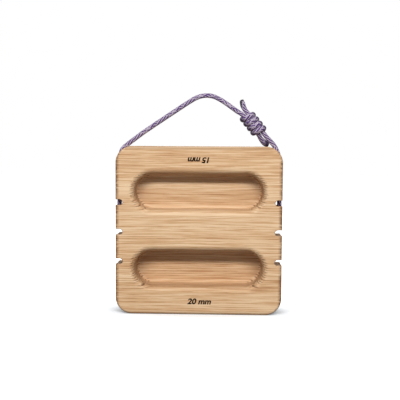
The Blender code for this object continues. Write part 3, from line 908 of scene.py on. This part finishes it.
relief = add_node(
    tree, "ShaderNodeMath", {"operation": "SUBTRACT"}, {0: tone.outputs[0], 1: pore_row.outputs[0]})
grain_bump = add_node(
    tree, "ShaderNodeBump", {"Strength": 0.2, "Distance": GRAIN_RELIEF}, {"Height": relief.outputs[0]})
tree.links.new(open_wood.outputs[2], shader.inputs["Base Color"])
tree.links.new(grain_bump.outputs[0], shader.inputs["Normal"])
shader.inputs["Roughness"].default_value = 0.55
shader.inputs["Specular IOR Level"].default_value = 0.25


# Edge depths
# The two depths are burnt into the front face in slanted figures, each beside its own pocket. The upper
# one is upside down, because the board is turned over to use that pocket.
LABEL_HEIGHT = 0.0051
LABEL_WIDENING = 1.07
LABEL_SLANT = 0.22
LABEL_WEIGHT = 0.00028
LABEL_THICKNESS = 0.00004
CAPITAL_SHARE = 0.729
LOWER_LABEL_CENTRE = (0.0009, 0.0119)
UPPER_LABEL_CENTRE = (0.0004, 0.1396)
UPPER_LABEL_SPACING = 0.94
CHAR_BLACK = linear("120803")
CHAR_BROWN = linear("2A180C")
CHAR_GRAIN = 0.0005556

burnt_oak, tree, shader = new_material("burnt_oak")
char_place = add_node(tree, "ShaderNodeTexCoord", {}, {})
char = add_node(
    tree, "ShaderNodeTexNoise", {"Scale": 1 / CHAR_GRAIN, "Detail": 2.0},
    {"Vector": char_place.outputs["Object"]})
char_colour = add_node(
    tree, "ShaderNodeMix", {"data_type": "RGBA", 6: CHAR_BLACK, 7: CHAR_BROWN},
    {0: char.outputs[0]})
tree.links.new(char_colour.outputs[2], shader.inputs["Base Color"])
shader.inputs["Roughness"].default_value = 0.9
shader.inputs["Specular IOR Level"].default_value = 0.1


def burnt_label(name, words, centre, spacing, turned_over):
    """Set a depth in slanted figures on the front face, with its centre given across and up."""
    bpy.ops.object.select_all(action="DESELECT")
    bpy.ops.object.text_add()
    label = bpy.context.active_object
    label.name = name
    label.data.body = words
    label.data.size = LABEL_HEIGHT / CAPITAL_SHARE
    label.data.shear = LABEL_SLANT
    label.data.space_character = spacing
    label.data.offset = LABEL_WEIGHT
    label.data.extrude = LABEL_THICKNESS
    label.data.align_x = "CENTER"
    label.data.align_y = "CENTER"
    bpy.ops.object.convert(target="MESH")
    label.scale = (LABEL_WIDENING, 1, 1)
    label.rotation_euler = (math.pi / 2, math.pi if turned_over else 0, 0)
    label.location = (centre[0], FRONT_Y, centre[1])
    bpy.ops.object.transform_apply(location=True, rotation=True, scale=True)
    label.data.materials.append(burnt_oak)
    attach(label, "board")


burnt_label("lower_edge_depth", "20 mm", LOWER_LABEL_CENTRE, spacing=1.0, turned_over=False)
burnt_label("upper_edge_depth", "15 mm", UPPER_LABEL_CENTRE, UPPER_LABEL_SPACING, turned_over=True)


# Studio
# White paper under a strip lamp above the camera and a weaker one high behind the object. The paper and the
# world glow white for the camera. In an oval along the board the paper glows less and a little cooler,
# which keeps the board's shadow there and balances the warm light that the wood throws on the paper.
FLOOR_SIZE = 12
STRIP_LAMPS = (
    ("front_lamp", Vector((0.0, -1.26, 1.05)), 29),
    ("back_lamp", Vector((0.0, 1.26, 1.05)), 7),
)
LAMP_WIDTH = 1.8
LAMP_HEIGHT = 0.22
WORLD_STRENGTH = 0.05
NEAR_GLOW = 0.25
COOL_GLOW = (0.86, 0.93, 1, 1)
WHITE_GLOW = (1, 1, 1, 1)
NEAR_REACH = 0.075
FAR_REACH = 0.14
REACH_SCALE = (1, 3.4, 1)
PAPER_FOR_LIGHT = linear("787878")
PAPER_FOR_CAMERA = linear("F2F2F2")
LAMP_TARGET = Vector((0, 0, 0.08))


def watched_ray(tree):
    """1 for rays from the camera, and for those that a shiny or clear surface sends on, else 0."""
    seen = add_node(tree, "ShaderNodeLightPath", {}, {})
    passed_on = add_node(
        tree, "ShaderNodeMath", {"operation": "MAXIMUM"},
        {0: seen.outputs["Is Glossy Ray"], 1: seen.outputs["Is Transmission Ray"]})
    return add_node(
        tree, "ShaderNodeMath", {"operation": "MAXIMUM"},
        {0: seen.outputs["Is Camera Ray"], 1: passed_on.outputs[0]})


bpy.ops.object.select_all(action="DESELECT")
bpy.ops.mesh.primitive_plane_add(size=FLOOR_SIZE)
floor = bpy.context.active_object
floor.name = "floor"
paper, tree, shader = new_material("white_paper_sweep")
shader.inputs["Roughness"].default_value = 0.9
shader.inputs["Specular IOR Level"].default_value = 0.0
watched = watched_ray(tree)
paper_colour = add_node(
    tree, "ShaderNodeMix", {"data_type": "RGBA", 6: PAPER_FOR_LIGHT, 7: PAPER_FOR_CAMERA},
    {0: watched.outputs[0]})
tree.links.new(paper_colour.outputs[2], shader.inputs["Base Color"])
floor_place = add_node(tree, "ShaderNodeTexCoord", {}, {})
oval = add_node(
    tree, "ShaderNodeVectorMath", {"operation": "MULTIPLY", 1: REACH_SCALE},
    {0: floor_place.outputs["Object"]})
reach = add_node(tree, "ShaderNodeVectorMath", {"operation": "LENGTH"}, {0: oval.outputs[0]})
far_share = add_node(
    tree, "ShaderNodeMapRange", {"From Min": NEAR_REACH, "From Max": FAR_REACH},
    {"Value": reach.outputs["Value"]})
glow_colour = add_node(
    tree, "ShaderNodeMix", {"data_type": "RGBA", 6: COOL_GLOW, 7: WHITE_GLOW}, {0: far_share.outputs[0]})
spread = add_node(tree, "ShaderNodeMapRange", {"To Min": NEAR_GLOW}, {"Value": far_share.outputs[0]})
glow = add_node(
    tree, "ShaderNodeMath", {"operation": "MULTIPLY"}, {0: spread.outputs[0], 1: watched.outputs[0]})
tree.links.new(glow_colour.outputs[2], shader.inputs["Emission Color"])
tree.links.new(glow.outputs[0], shader.inputs["Emission Strength"])
floor.data.materials.append(paper)

world = bpy.data.worlds.new("studio")
bpy.context.scene.world = world
world.use_nodes = True
tree = world.node_tree
background = tree.nodes["Background"]
background.inputs["Color"].default_value = WHITE_GLOW
strength = add_node(
    tree, "ShaderNodeMapRange", {"To Min": WORLD_STRENGTH, "To Max": 1.0}, {0: watched_ray(tree).outputs[0]})
tree.links.new(strength.outputs[0], background.inputs["Strength"])

for name, place, power in STRIP_LAMPS:
    lamp = bpy.data.objects.new(name, bpy.data.lights.new(name, "AREA"))
    lamp.data.shape = "RECTANGLE"
    lamp.data.size = LAMP_WIDTH
    lamp.data.size_y = LAMP_HEIGHT
    lamp.data.energy = power
    lamp.location = place
    lamp.rotation_euler = (place - LAMP_TARGET).to_track_quat("Z", "Y").to_euler()
    bpy.context.scene.collection.objects.link(lamp)
